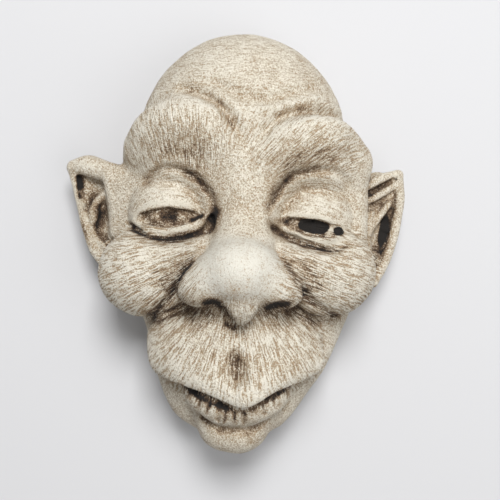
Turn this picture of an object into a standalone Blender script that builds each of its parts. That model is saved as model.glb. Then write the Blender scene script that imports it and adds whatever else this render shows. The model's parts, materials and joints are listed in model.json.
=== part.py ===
"""A goblin's face cast in one piece of stone, made to hang flat on a wall.

The face is modelled the way a sculptor builds one up. Lumps and rolls of clay are pressed together,
sockets and nostrils are cut out, and creases are drawn into the skin. The skin is then cut flat at the
wall, where a slot for a nail is sunk into the back.

Places on the face are written as (across, out, up): across to the viewer's right, out from the wall
towards the viewer, and up. They are in drawn millimetres, on a face drawn 163 mm high.
"""

import math

import bmesh
import bpy
import numpy as np
from mathutils import Euler, Matrix

HEIGHT = 0.163  # crown to chin, in metres
DRAWN_HEIGHT = 163.0
DRAWN = HEIGHT / DRAWN_HEIGHT  # metres for each drawn millimetre

SLOT_WIDTH = 0.010  # the nail slot in the back, in metres
SLOT_HEIGHT = 0.022
SLOT_DEPTH = 0.012
SLOT_UP = 0.034  # middle of the slot above the origin

SKIN_GRAIN = 1.2  # spacing of the working skin's points, in drawn millimetres
SKIN_TRIANGLES = 9700
SETTLE_COUNT = 8
FIRST_COUNTS = (10, 6)
LONGEST_STEP = 1.4
SAME_POINT = 1e-7  # metres
SLOT_ROUND = 0.45  # corner radius as a share of the slot's width
BEHIND_WALL = 9.0  # how far the clay runs on behind the wall, before it is cut off flat

RELIEF_CELL = 0.3
RELIEF_SPAN = 92.0
RELIEF_FROM = 9.0  # lines are drawn only on skin further out from the wall than this
FAR = 99.0
SPAN_STEPS = 5
LINE_FADE = 0.2  # the share of a line over which it fades in and out


def through(stations, steps=SPAN_STEPS):
    """A smooth curve through the stations, as an array with a row for each point."""
    rows = np.array(stations, float)
    before = np.vstack([2 * rows[0] - rows[1], rows[:-1]])
    after = np.vstack([rows[1:], 2 * rows[-1] - rows[-2]])
    slopes = (after - before) / 2
    found = []
    for index in range(len(rows) - 1):
        for t in np.arange(steps) / steps:
            found.append(
                (2 * t**3 - 3 * t**2 + 1) * rows[index]
                + (t**3 - 2 * t**2 + t) * slopes[index]
                + (3 * t**2 - 2 * t**3) * rows[index + 1]
                + (t**3 - t**2) * slopes[index + 1]
            )
    found.append(rows[-1])
    return np.array(found)


def join(a, b, soft):
    """The smaller of two distances, rounded where they meet over the width soft."""
    share = np.maximum(soft - np.abs(a - b), 0) / soft
    return np.minimum(a, b) - share * share * soft / 4


def meet(a, b, soft):
    """The larger of two distances, rounded where they meet."""
    return -join(-a, -b, soft)


def turned(turn, tip, swing):
    """The matrix of a lump turned in the face's plane, tipped forwards and swung sideways, in degrees."""
    angles = (math.radians(tip), math.radians(turn), math.radians(swing))
    return np.array(Euler(angles, "XYZ").to_matrix())


def oval(points, centre, radii, turn=0, tip=0, swing=0):
    """Distance from an ellipsoid."""
    local = (points - np.array(centre, float)) @ turned(turn, tip, swing)
    radii = np.array(radii, float)
    near = np.linalg.norm(local / radii, axis=1)
    steep = np.maximum(np.linalg.norm(local / radii**2, axis=1), 1e-6)
    return near * (near - 1) / steep


def tube(points, stations):
    """Distance from a round roll whose thickness changes along it."""
    line = through(stations)
    found = np.full(len(points), FAR)
    for start, end in zip(line[:-1], line[1:]):
        along = end[:3] - start[:3]
        t = np.clip((points - start[:3]) @ along / max(along @ along, 1e-9), 0, 1)
        gap = np.linalg.norm(points - start[:3] - t[:, None] * along, axis=1)
        found = np.minimum(found, gap - (start[3] + t * (end[3] - start[3])))
    return found


class Field:
    """How far each point is from the skin, with points inside the clay below zero."""

    def __init__(self, points):
        self.points = points
        self.value = np.full(len(points), FAR)

    def near(self, centre, size, soft):
        """The points that a feature can touch: no further from it than its blend and a few steps."""
        gap = np.abs(self.points - np.array(centre, float)) - np.array(size, float)
        return np.flatnonzero((gap < soft + 3 * LONGEST_STEP).all(axis=1))

    def lump(self, centre, radii, soft=2.0, **turns):
        near = self.near(centre, [max(radii)] * 3, soft)
        added = oval(self.points[near], centre, radii, **turns)
        self.value[near] = join(self.value[near], added, soft)

    def cut(self, centre, radii, soft=2.0, **turns):
        near = self.near(centre, [max(radii)] * 3, soft)
        taken = oval(self.points[near], centre, radii, **turns)
        self.value[near] = meet(self.value[near], -taken, soft)

    def roll(self, stations, soft=2.0):
        rows = np.array(stations, float)
        low, high = rows.min(axis=0), rows.max(axis=0)
        near = self.near((low + high)[:3] / 2, (high - low)[:3] / 2 + high[3], soft)
        added = tube(self.points[near], stations)
        self.value[near] = join(self.value[near], added, soft)

    def slit(self, stations, soft=1.0):
        rows = np.array(stations, float)
        low, high = rows.min(axis=0), rows.max(axis=0)
        near = self.near((low + high)[:3] / 2, (high - low)[:3] / 2 + high[3], soft)
        taken = tube(self.points[near], stations)
        self.value[near] = meet(self.value[near], -taken, soft)

    def eye(self, centre, ball, lid, upper, lower, soft):
        """An eyeball with lids round it, open between two lines drawn across the face."""
        near = self.near(centre, [lid] * 3, soft)
        points = self.points[near]
        gap = np.linalg.norm(points - np.array(centre, float), axis=1)
        top, bottom = through(upper), through(lower)
        across, up = points[:, 0], points[:, 2]
        opening = np.minimum(
            np.interp(across, top[:, 0], top[:, 1]) - up,
            up - np.interp(across, bottom[:, 0], bottom[:, 1]),
        )
        lids = meet(gap - lid, opening, 0.5)
        self.value[near] = join(self.value[near], join(lids, gap - ball, 0.3), soft)


class Lumps:
    """Collects the lumps and rolls as round pieces, from which the working skin is started."""

    def __init__(self):
        self.pieces = []

    def lump(self, centre, radii, soft=2.0, **turns):
        self.pieces.append((centre, radii, turns))

    def cut(self, centre, radii, soft=2.0, **turns):
        pass

    def roll(self, stations, soft=2.0):
        for across, out, up, radius in through(stations):
            self.pieces.append(((across, out, up), (radius,) * 3, {}))

    def slit(self, stations, soft=1.0):
        pass

    def eye(self, centre, ball, lid, upper, lower, soft):
        self.pieces.append((centre, (lid,) * 3, {}))


def skull(clay):
    clay.lump((1, 15, 36.3), (42, 37, 46.7))
    clay.lump((1, 12, 18), (45.5, 32, 32), soft=8)
    clay.lump((0.5, 12, -5), (43, 30, 64), soft=10)
    clay.lump((0, 36, -22), (20, 18, 18), soft=2)
    clay.roll([(-39, 25, 32, 6.5), (-39, 24, 18, 6.3), (-39, 24, 6, 6.3), (-39, 27, -5, 7)], soft=5)
    clay.roll([(42, 28, 30, 7.5), (42.5, 27, 18, 7), (42.3, 27, 6, 7), (41, 28, -5, 8)], soft=5)


def jaw(clay):
    clay.lump((-1, 20, -42), (31, 22, 25), soft=8)
    clay.lump((-13.5, 22, -53), (15.5, 19, 14), soft=4)
    clay.roll(
        [
            (33.5, 18, -25, 10),
            (28, 19, -37, 10),
            (22.8, 21, -45.5, 10.2),
            (17.5, 23, -52.5, 10.2),
            (13.8, 24, -58.5, 10),
            (9.8, 25, -63.2, 9.8),
        ],
        soft=4,
    )
    clay.roll([(-24, 20, -50, 8), (-19.6, 22, -60.4, 8.4), (-14.8, 23, -64, 8.4)], soft=4)
    clay.lump((-1, 29, -69.4), (12.3, 17, 10.4), soft=3, tip=-8)
    clay.lump((-7.5, 28, -68.5), (9, 16, 9.3), soft=3, tip=-8)
    clay.lump((-1, 33, -64), (15, 13.5, 9), soft=4)


def cheeks(clay):
    clay.lump((-35, 34, -11), (18.5, 20, 17), soft=3)
    clay.lump((-20, 39, -6), (17, 13, 11), soft=6, turn=12)
    clay.lump((33.5, 34, -11), (18, 20, 17), soft=3)
    clay.lump((21, 39, -8), (17, 13, 11), soft=6, turn=-12)
    clay.roll([(-15, 43, -4, 6), (-19, 44, -10, 6), (-22, 43, -15, 5.5), (-24, 40, -18, 5)], soft=5)
    clay.roll([(17, 43, -5, 6), (21, 44, -11, 6), (24.5, 43, -16, 5.5), (26.5, 40, -19, 5)], soft=5)


# The edge of the upper lip, which stands out over the lower one.
UPPER_LIP = [
    (-27, 42, -49),
    (-22, 48, -50.5),
    (-17, 52, -52),
    (-11, 56, -54),
    (-5, 59, -56.5),
    (1, 61, -58.5),
    (5, 60.5, -57.5),
    (9.5, 58, -54.5),
    (15.5, 54, -52.3),
    (20, 50, -51),
    (26, 43, -49),
]


def under_lip(out, up, radius):
    """A roll that runs along the upper lip's edge, further out and up than it by these amounts."""
    return [(across, lip_out + out, lip_up + up, radius) for across, lip_out, lip_up in UPPER_LIP]


def muzzle(clay):
    clay.lump((-2.2, 28, -36), (33.5, 29, 19), soft=3, tip=-15)
    clay.roll(under_lip(-5, 4.5, 5), soft=8)
    clay.slit(under_lip(-3, -5, 5), soft=0.8)
    clay.lump((-1, 36, -53.5), (20.5, 20, 14), soft=1, tip=-20)
    clay.slit(under_lip(-4, -1.9, 1.2), soft=0.6)
    clay.cut((-1.3, 63, -43), (3.9, 9, 8.5), soft=2, tip=20)


def brows(clay):
    clay.lump((-19, 26, 36), (22.5, 22, 16), soft=5)
    clay.roll(
        [
            (-37, 31, 37, 7),
            (-31, 38.5, 42, 8.5),
            (-22, 43.5, 44, 9.5),
            (-12, 45.5, 42, 9.5),
            (-5, 45, 36, 9),
            (-1, 44, 27, 8),
            (0, 44, 18, 8),
        ],
        soft=5,
    )
    clay.lump((24, 26, 30), (22, 22, 15), soft=5)
    clay.roll(
        [
            (5, 44, 18, 8),
            (8, 44, 25, 8),
            (14, 45, 33, 9),
            (22, 45.5, 37.5, 9.5),
            (30, 42.5, 38.5, 9.5),
            (36.5, 35, 37, 8.7),
            (41.5, 29, 31, 8.5),
        ],
        soft=5,
    )


LEFT_EYE = (-25.5, 27, 11)
RIGHT_EYE = (27, 26.5, 8.5)
EYEBALL = 15.4
LID = 17.6
LEFT_UPPER = [(-39.5, 9.4), (-34, 12.1), (-27, 13.1), (-19, 12.4), (-12, 10.6)]
LEFT_LOWER = [(-39.5, 9.4), (-36, 7.2), (-30.7, 5.8), (-24.8, 5.4), (-18, 7.3), (-12, 10.6)]
RIGHT_UPPER = [(12.1, 8.5), (15, 9.7), (20, 9.5), (27.4, 8.7), (35, 6.9), (40, 4.5)]
RIGHT_LOWER = [(12.1, 8.5), (15.4, 6.2), (21, 4.3), (24.5, 2.5), (29, 1.7), (35.4, 1.7), (40, 4.5)]


def lid_rim(clay, centre, line, radius, drop):
    """The thick edge of a lower lid, on the round of the lid below its opening."""
    stations = []
    for across, up in line:
        sideways, down = across - centre[0], up - drop - centre[2]
        out = math.sqrt(max(LID**2 - sideways**2 - down**2, 9.0))
        stations.append((across, centre[1] + out - 0.8, up - drop, radius))
    clay.roll(stations, soft=0.6)


def eyes(clay):
    clay.cut((-25, 62, 13.5), (17.5, 25, 15.5), soft=4)
    clay.cut((27, 61, 11), (17.5, 25, 15.5), soft=4)
    clay.eye(LEFT_EYE, EYEBALL, LID, LEFT_UPPER, LEFT_LOWER, soft=1.2)
    clay.eye(RIGHT_EYE, EYEBALL, LID, RIGHT_UPPER, RIGHT_LOWER, soft=1.2)
    lid_rim(clay, LEFT_EYE, LEFT_LOWER, 1.4, 1.4)
    lid_rim(clay, RIGHT_EYE, RIGHT_LOWER, 1.1, 1.2)
    lid_rim(clay, LEFT_EYE, LEFT_UPPER, 0.9, -0.7)
    lid_rim(clay, RIGHT_EYE, RIGHT_UPPER, 0.9, -0.7)
    clay.cut((-26.1, 43.8, 9.6), (4.6, 3.6, 3.5), soft=0.6)
    clay.cut((-35.6, 39.5, 8.9), (2.2, 3, 2.4), soft=0.6)
    clay.slit([(-17.5, 40.5, 8.2, 0.6), (-14.5, 39, 9.3, 0.8), (-12.5, 37.5, 10.3, 0.6)], soft=0.4)
    clay.cut((-9.4, 43, 6.6), (2.5, 8, 4.4), soft=1.5)
    clay.cut((27.4, 42, 6), (5, 7, 2.7), soft=0.6, turn=-8)
    clay.cut((36.4, 40, 4.2), (1.7, 5, 1.6), soft=0.5)
    clay.roll([(31.7, 41.2, 3.4, 0.8), (33, 41.2, 4.8, 0.8), (34.5, 40.5, 4.2, 0.8)], soft=0.5)


def nose(clay):
    clay.roll([(2.5, 40, 28, 8), (2.5, 42, 16, 9.5), (2, 44, 5, 11), (0.5, 52, -7, 12)], soft=4)
    clay.lump((0.5, 58, -10.5), (14, 16.5, 12), soft=2.5)
    clay.lump((-12.5, 56, -14.5), (10, 11, 8), soft=6, turn=-20)
    clay.lump((13.5, 56, -15.5), (10, 11, 8), soft=6, turn=20)
    clay.roll([(1.2, 50, -20, 7), (1.2, 50, -30, 5)], soft=3)
    clay.roll([(1.5, 61, -17, 7.5), (1.3, 62, -22, 5.5), (1.1, 60, -27.5, 1.8)], soft=2)
    clay.cut((-9.3, 65, -24.6), (5.2, 9, 4.6), soft=0.8)
    clay.cut((13.8, 65, -25.2), (5.8, 9, 4.8), soft=0.8)


def left_ear(clay):
    clay.lump((-49, 14, 11), (9, 9, 20), soft=3)
    clay.lump((-53.5, 13, 13), (11, 6, 21), soft=2, turn=-10)
    clay.lump((-60, 12.5, 25), (6, 4.5, 8), soft=2, turn=-10)
    clay.cut((-57.5, 22, 15), (5, 6, 15), soft=1.5, turn=-14)
    clay.roll(
        [(-66, 18, 30.5, 2.8), (-60, 19, 30.6, 4.2), (-54, 21, 28.5, 4.2), (-47, 24, 26.5, 4)],
        soft=2,
    )
    clay.roll(
        [
            (-66.6, 17.5, 30, 2.4),
            (-65.5, 17.5, 23, 1.5),
            (-63.6, 17.5, 15, 1.5),
            (-61.5, 18, 7, 1.7),
            (-58, 19, -2, 2),
            (-53, 21, -8, 2.5),
        ],
        soft=1.2,
    )
    clay.roll([(-50, 24.5, 25, 3.4), (-49.5, 23.5, 19, 2.8), (-48, 23.5, 12, 3), (-48, 23, 4, 3)], soft=2)
    clay.roll([(-44.5, 24.5, 25, 4), (-44, 24.5, 13, 4), (-43.5, 24, 2, 4)], soft=3)
    clay.roll(
        [
            (-53.5, 19.5, 20, 1.3),
            (-57.5, 18, 15.5, 1.8),
            (-58.2, 18, 11.5, 2.4),
            (-58.5, 17.5, 6.5, 1.5),
            (-57, 18, 2.5, 1.5),
            (-53.5, 20, -1.5, 1.8),
        ],
        soft=1.2,
    )
    clay.slit([(-64, 18, 26, 1.1), (-63.2, 17.5, 17, 0.9), (-60.6, 17.5, 9.5, 0.9)], soft=0.6)
    clay.slit([(-54.3, 19, 12, 1), (-56, 18.5, 7, 1.2), (-55, 19, 3.4, 1.3), (-52, 20.5, 0, 1)], soft=0.8)


def right_ear(clay):
    clay.lump((50, 14, 5), (9, 9, 20), soft=3)
    clay.lump((53, 13, 7), (10.5, 6, 21), soft=2, turn=7)
    clay.lump((56, 13, 20), (9, 5, 8.5), soft=2, turn=20)
    clay.cut((57, 22, 9), (4.6, 5.5, 15), soft=1.5, turn=12)
    clay.roll(
        [(46, 24, 21, 2.4), (51.5, 21.5, 23.4, 2), (57, 19, 26, 1.8), (63, 17.5, 27.2, 1.8)],
        soft=1.2,
    )
    clay.roll(
        [
            (63, 17.5, 26.8, 1.9),
            (63.6, 17.5, 18, 2),
            (62, 17.5, 8, 2),
            (60, 18, 0, 2.1),
            (56.5, 19, -8.5, 2.2),
            (52, 21, -15, 2.7),
        ],
        soft=1.2,
    )
    clay.roll(
        [(47, 23.5, 15, 1.8), (51.5, 21, 17, 1.6), (56.5, 19, 20, 1.6), (62, 17.5, 23.5, 1.5)],
        soft=1,
    )
    clay.roll([(50, 22, 4, 1.8), (53.4, 20, 8.6, 1.7), (56, 19, 12, 1.6), (59, 18, 15.5, 1.5)], soft=1.2)
    clay.slit([(51.5, 22, 20.2, 1), (56.5, 20, 22.6, 1.1), (61.5, 18.5, 25.6, 0.8)], soft=0.8)
    clay.slit([(50.5, 22, 14, 1.4), (54, 20.5, 15, 1.5), (57, 19.5, 17, 1.1)], soft=1)
    clay.slit(
        [
            (57, 17.5, 10.5, 1.2),
            (58, 16.5, 6.5, 2),
            (56.8, 17, 1.5, 2.2),
            (54.2, 18.5, -3, 1.9),
            (52, 20.5, -6, 1.3),
        ],
        soft=0.8,
    )


def model_face(clay):
    skull(clay)
    jaw(clay)
    brows(clay)
    cheeks(clay)
    muzzle(clay)
    eyes(clay)
    nose(clay)
    left_ear(clay)
    right_ear(clay)


# Lines drawn into the skin, seen from the front: points (across, up), half width, depth.
# A depth below zero raises a ridge.
LINES = [
    ([(-17, 57.4), (-9, 58.2), (-3, 55.4), (3, 52.6), (9.4, 51.7), (19, 55), (30, 59)], 2.1, 1.5),
    ([(-24, 57.5), (-18.5, 56.5), (-11, 52.5), (-6.5, 49), (-3.7, 45), (-1, 41), (4, 31)], 2.1, 2.2),
    ([(42, 48), (33.5, 48.8), (24, 47.6), (15.5, 45.2), (9.8, 40.5), (6, 34)], 2.3, 2.1),
    ([(-10, 54.5), (-4, 51), (0.5, 47), (3.5, 41)], 1.6, -0.7),
    ([(4, 48.6), (10, 48.4), (17, 50.2), (26, 53.3), (34, 55.5)], 1.6, -0.9),
    ([(-37, 20), (-33, 25), (-28.7, 27.4), (-22, 27), (-16, 24), (-11.5, 19), (-7, 9)], 1.5, 1.3),
    ([(-42, 8), (-36, 3), (-27.3, 0.8), (-19, 2), (-12.5, 4.8), (-9, 8)], 1.4, 2.4),
    ([(10, 10), (11.5, 14), (15, 20), (19.5, 24.5), (25, 26), (31, 26.6), (38, 25), (43, 20)], 1.5, 1.3),
    ([(10.5, 9), (13, 4.8), (21, 0.8), (27, -1.4), (34, -3), (41, -0.3)], 1.4, 2.4),
    ([(-15, -5), (-18.5, -9), (-22, -15), (-27, -22), (-34, -28), (-38, -32)], 1.4, 1.1),
    ([(14, -4), (18, -10), (23, -17), (28, -22), (35, -26.5), (42, -29)], 1.4, 1.1),
    ([(-17.5, -59.5), (-13.3, -64.6), (-8.2, -67.9), (-1.6, -68.8), (5, -68.4), (13.4, -63.2)], 1.1, 1.0),
    ([(3, -31), (3.6, -38), (4.6, -46), (6.5, -53)], 1.6, -0.8),
]


LIP_WRINKLES = 11
LIP_MIDDLE = (-1.0, -59.5)
LIP_HALF_WIDTH = 16.5
LIP_RISE = 6.0  # how far the lip's ends stand above its middle
LIP_DROP = 7.5
LIP_STRAY = 0.9  # how far a wrinkle strays from its even place


def lip_wrinkles():
    """Short strokes that fan out down the lower lip, unevenly spaced, long and deep."""
    for number in range(LIP_WRINKLES):
        share = 2 * number / (LIP_WRINKLES - 1) - 1
        uneven = 0.5 + 0.5 * math.sin(2.4 * number)
        across = LIP_MIDDLE[0] + LIP_HALF_WIDTH * share + LIP_STRAY * math.sin(7 * number)
        top = LIP_MIDDLE[1] + LIP_RISE * share**2
        drop = LIP_DROP * (1 - 0.3 * share**2) * (0.45 + 0.55 * uneven)
        lean = 2.5 * share
        stroke = [(across, top), (across + 0.4 * lean, top - 0.5 * drop), (across + lean, top - drop)]
        yield stroke, 0.45 + 0.3 * uneven, 0.4 + 0.5 * uneven


def drawn_map(lines):
    """Drawn lines as a height map over the face, deeper where a line is deeper."""
    cells = int(2 * RELIEF_SPAN / RELIEF_CELL) + 1
    axis = np.linspace(-RELIEF_SPAN, RELIEF_SPAN, cells)
    depth = np.zeros((cells, cells))
    for line, half_width, amount in lines:
        points = through(line)
        reach = 3 * half_width
        columns = np.flatnonzero((axis > points[:, 0].min() - reach) & (axis < points[:, 0].max() + reach))
        rows = np.flatnonzero((axis > points[:, 1].min() - reach) & (axis < points[:, 1].max() + reach))
        across, up = np.meshgrid(axis[columns], axis[rows], indexing="ij")
        spots = np.stack([across.ravel(), up.ravel()], axis=1)
        best = np.full(len(spots), FAR)
        place = np.zeros(len(spots))
        for index, (start, end) in enumerate(zip(points[:-1], points[1:])):
            along = end - start
            t = np.clip((spots - start) @ along / (along @ along), 0, 1)
            gap = np.linalg.norm(spots - start - t[:, None] * along, axis=1)
            place = np.where(gap < best, (index + t) / (len(points) - 1), place)
            best = np.minimum(best, gap)
        fade = np.clip(np.minimum(place, 1 - place) / LINE_FADE, 0, 1) ** 0.7
        cut = amount * fade * np.exp(-((best / half_width) ** 2))
        window = np.ix_(columns, rows)
        depth[window] = depth[window] + cut.reshape(len(columns), len(rows))
    return depth


def read_map(depth, points):
    """The height map's value at each point, seen from the front."""
    place = np.clip((points[:, [0, 2]] + RELIEF_SPAN) / RELIEF_CELL, 0, len(depth) - 1.001)
    cell = place.astype(int)
    right, above = (place - cell).T
    column, row = cell.T
    return (
        depth[column, row] * (1 - right) * (1 - above)
        + depth[column + 1, row] * right * (1 - above)
        + depth[column, row + 1] * (1 - right) * above
        + depth[column + 1, row + 1] * right * above
    )


class Skin:
    """The face's skin as a field: the clay with the lines drawn into it."""

    def __init__(self):
        self.depth = drawn_map([*LINES, *lip_wrinkles()])

    def lines(self, points):
        return read_map(self.depth, points) * np.clip((points[:, 1] - RELIEF_FROM) / 8, 0, 1)

    def __call__(self, points):
        field = Field(points)
        model_face(field)
        floor = -BEHIND_WALL - points[:, 1]
        return meet(field.value + self.lines(points), floor, 1.0)

    def slope(self, points, step=0.12):
        """The field's value and its gradient."""
        corners = np.array([(1, -1, -1), (-1, -1, 1), (-1, 1, -1), (1, 1, 1)], float)
        values = [self(points + step * corner) for corner in corners]
        rise = sum(value[:, None] * corner for value, corner in zip(values, corners))
        return sum(values) / 4, rise / (4 * step)


def rough_lumps():
    """The face's lumps and rolls as plain closed meshes in one object."""
    lumps = Lumps()
    model_face(lumps)
    made = bmesh.new()
    for centre, radii, turns in lumps.pieces:
        angles = turned(turns.get("turn", 0), turns.get("tip", 0), turns.get("swing", 0))
        place = Matrix.Translation(centre) @ Matrix(angles.tolist()).to_4x4() @ Matrix.Diagonal((*radii, 1))
        fineness = 3 if max(radii) > 12 else 2
        bmesh.ops.create_icosphere(made, subdivisions=fineness, radius=1, matrix=place)
    return as_object(made, "rough")


def as_object(made, name):
    mesh = bpy.data.meshes.new(name)
    made.to_mesh(mesh)
    made.free()
    obj = bpy.data.objects.new(name, mesh)
    bpy.context.scene.collection.objects.link(obj)
    return obj


def even_skin(obj, grain):
    """One closed skin of even grain round everything in the object, as a mesh."""
    remesh = obj.modifiers.new("skin", "REMESH")
    remesh.mode = "VOXEL"
    remesh.voxel_size = grain
    return take_mesh(obj)


def started_skin(grain):
    """The face's skin at an even grain: the lumps are joined, settled, and evened out again."""
    skin = Skin()
    mesh = even_skin(rough_lumps(), grain)
    for rounds in FIRST_COUNTS:
        settle(mesh, skin, rounds)
        again = bpy.data.objects.new("again", mesh)
        bpy.context.scene.collection.objects.link(again)
        mesh = even_skin(again, grain)
    return mesh


def take_mesh(obj):
    """The object's mesh with its modifiers applied. The object itself is removed."""
    graph = bpy.context.evaluated_depsgraph_get()
    mesh = bpy.data.meshes.new_from_object(obj.evaluated_get(graph))
    old = obj.data
    bpy.data.objects.remove(obj)
    bpy.data.meshes.remove(old)
    return mesh


def settle(mesh, skin, rounds):
    """Moves the mesh's points onto the skin, and evens out their spacing along it."""
    count = len(mesh.vertices)
    points = np.empty(count * 3)
    mesh.vertices.foreach_get("co", points)
    points = points.reshape(-1, 3)
    ends = np.empty(len(mesh.edges) * 2, np.int64)
    mesh.edges.foreach_get("vertices", ends)
    first, second = ends.reshape(-1, 2).T
    neighbours = np.bincount(first, minlength=count) + np.bincount(second, minlength=count)
    for number in range(rounds):
        value, rise = skin.slope(points)
        steep = np.maximum(np.linalg.norm(rise, axis=1), 0.25)
        normal = rise / steep[:, None]
        step = np.clip(value / steep, -LONGEST_STEP, LONGEST_STEP)
        points = points - step[:, None] * normal
        if number >= rounds - 2:
            continue
        middle = np.zeros((count, 3))
        for axis in range(3):
            middle[:, axis] += np.bincount(first, points[second, axis], count)
            middle[:, axis] += np.bincount(second, points[first, axis], count)
        shift = middle / neighbours[:, None] - points
        shift -= (shift * normal).sum(axis=1)[:, None] * normal
        points = points + 0.5 * shift
    mesh.vertices.foreach_set("co", points.ravel())
    mesh.update()


def cast(mesh):
    """The settled skin at its real size, facing along -Y and cut flat where it meets the wall."""
    made = bmesh.new()
    made.from_mesh(mesh)
    bpy.data.meshes.remove(mesh)
    bmesh.ops.transform(made, matrix=Matrix.Diagonal((DRAWN, -DRAWN, DRAWN, 1)), verts=made.verts)
    bmesh.ops.reverse_faces(made, faces=made.faces)
    bmesh.ops.bisect_plane(
        made,
        geom=made.verts[:] + made.edges[:] + made.faces[:],
        dist=SAME_POINT,
        plane_co=(0, 0, 0),
        plane_no=(0, 1, 0),
        clear_outer=True,
    )
    bmesh.ops.holes_fill(made, edges=[edge for edge in made.edges if edge.is_boundary])
    bmesh.ops.triangulate(made, faces=made.faces)
    return as_object(made, "stone_face")


def lighten(face, triangles):
    """Thins the skin's triangles out, most where it is flattest."""
    thinner = face.modifiers.new("thinner", "DECIMATE")
    thinner.ratio = min(triangles / len(face.data.polygons), 1.0)


def nail_slot(face):
    """Sinks the slot for a nail into the back."""
    made = bmesh.new()
    size = Matrix.Diagonal((SLOT_WIDTH, 2 * SLOT_DEPTH, SLOT_HEIGHT, 1))
    bmesh.ops.create_cube(made, size=1, matrix=Matrix.Translation((0, 0, SLOT_UP)) @ size)
    corners = [edge for edge in made.edges if abs((edge.verts[0].co - edge.verts[1].co).y) > SLOT_DEPTH]
    bmesh.ops.bevel(
        made,
        geom=corners,
        offset=SLOT_ROUND * SLOT_WIDTH,
        segments=4,
        profile=0.5,
        affect="EDGES",
        material=-1,
    )
    cutter = as_object(made, "slot_cutter")
    cutter.hide_render = True
    cutter.display_type = "WIRE"
    sunk = face.modifiers.new("nail slot", "BOOLEAN")
    sunk.operation = "DIFFERENCE"
    sunk.object = cutter


def stone():
    material = bpy.data.materials.new("washed_cream_stone")
    material.use_nodes = True
    shader = material.node_tree.nodes["Principled BSDF"]
    shader.inputs["Base Color"].default_value = (0.50, 0.42, 0.32, 1)
    shader.inputs["Roughness"].default_value = 0.88
    shader.inputs["Metallic"].default_value = 0.0
    return material


def main():
    for obj in list(bpy.data.objects):
        bpy.data.objects.remove(obj)
    mesh = started_skin(SKIN_GRAIN)
    settle(mesh, Skin(), SETTLE_COUNT)
    face = cast(mesh)
    face.data.materials.append(stone())
    face.data.shade_smooth()
    lighten(face, SKIN_TRIANGLES)
    nail_slot(face)


if __name__ == "__main__":
    main()
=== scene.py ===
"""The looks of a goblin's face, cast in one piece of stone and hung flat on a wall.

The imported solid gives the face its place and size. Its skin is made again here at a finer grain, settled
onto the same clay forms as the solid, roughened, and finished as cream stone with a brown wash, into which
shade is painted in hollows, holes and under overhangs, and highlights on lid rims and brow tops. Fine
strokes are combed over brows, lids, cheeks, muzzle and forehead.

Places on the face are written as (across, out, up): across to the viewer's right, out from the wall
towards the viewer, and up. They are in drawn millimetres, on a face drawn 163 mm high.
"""

import json
import math

import bmesh
import bpy
import numpy as np
from mathutils import Euler, Matrix, Vector, noise

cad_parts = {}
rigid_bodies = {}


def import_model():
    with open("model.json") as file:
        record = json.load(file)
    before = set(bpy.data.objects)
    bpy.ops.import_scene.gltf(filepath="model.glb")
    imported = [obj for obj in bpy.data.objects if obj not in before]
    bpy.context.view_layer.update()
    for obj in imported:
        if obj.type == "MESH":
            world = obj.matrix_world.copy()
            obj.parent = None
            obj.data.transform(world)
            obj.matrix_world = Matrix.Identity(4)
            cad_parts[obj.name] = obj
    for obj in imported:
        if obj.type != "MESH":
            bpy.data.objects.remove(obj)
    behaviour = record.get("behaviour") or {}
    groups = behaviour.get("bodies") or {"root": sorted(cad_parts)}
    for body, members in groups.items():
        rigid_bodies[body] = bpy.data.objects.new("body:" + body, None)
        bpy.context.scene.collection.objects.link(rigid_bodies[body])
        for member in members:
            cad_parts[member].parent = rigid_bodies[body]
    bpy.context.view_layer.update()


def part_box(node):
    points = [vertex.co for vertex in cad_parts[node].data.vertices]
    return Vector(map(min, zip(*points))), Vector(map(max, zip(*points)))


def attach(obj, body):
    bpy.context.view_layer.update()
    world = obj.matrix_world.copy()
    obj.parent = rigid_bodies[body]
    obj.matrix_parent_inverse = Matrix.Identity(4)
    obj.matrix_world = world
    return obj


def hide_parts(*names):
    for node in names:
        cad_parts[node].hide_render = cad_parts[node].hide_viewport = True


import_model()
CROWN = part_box("stone_face")[1][2]
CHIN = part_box("stone_face")[0][2]

DRAWN_HEIGHT = 162.93
DRAWN = (CROWN - CHIN) / DRAWN_HEIGHT  # metres for each drawn millimetre

GRAIN = 0.62  # spacing of the fine skin's points, in drawn millimetres
CAST_TRIANGLES = 190000
SETTLE_COUNT = 5
LONGEST_STEP = 1.4
BEHIND_WALL = 9.0

RELIEF_CELL = 0.3
RELIEF_SPAN = 92.0
RELIEF_FROM = 9.0  # lines are drawn only on skin further out from the wall than this
FAR = 99.0
SPAN_STEPS = 5
LINE_FADE = 0.2  # the share of a line over which it fades in and out


# The clay form, as the solid has it


def through(stations, steps=SPAN_STEPS):
    """A smooth curve through the stations, as an array with a row for each point."""
    rows = np.array(stations, float)
    before = np.vstack([2 * rows[0] - rows[1], rows[:-1]])
    after = np.vstack([rows[1:], 2 * rows[-1] - rows[-2]])
    slopes = (after - before) / 2
    found = []
    for index in range(len(rows) - 1):
        for t in np.arange(steps) / steps:
            found.append(
                (2 * t**3 - 3 * t**2 + 1) * rows[index]
                + (t**3 - 2 * t**2 + t) * slopes[index]
                + (3 * t**2 - 2 * t**3) * rows[index + 1]
                + (t**3 - t**2) * slopes[index + 1]
            )
    found.append(rows[-1])
    return np.array(found)


def join(a, b, soft):
    """The smaller of two distances, rounded where they meet over the width soft."""
    share = np.maximum(soft - np.abs(a - b), 0) / soft
    return np.minimum(a, b) - share * share * soft / 4


def meet(a, b, soft):
    """The larger of two distances, rounded where they meet."""
    return -join(-a, -b, soft)


def turned(turn, tip, swing):
    """The matrix of a lump turned in the face's plane, tipped forwards and swung sideways, in degrees."""
    angles = (math.radians(tip), math.radians(turn), math.radians(swing))
    return np.array(Euler(angles, "XYZ").to_matrix())


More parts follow.
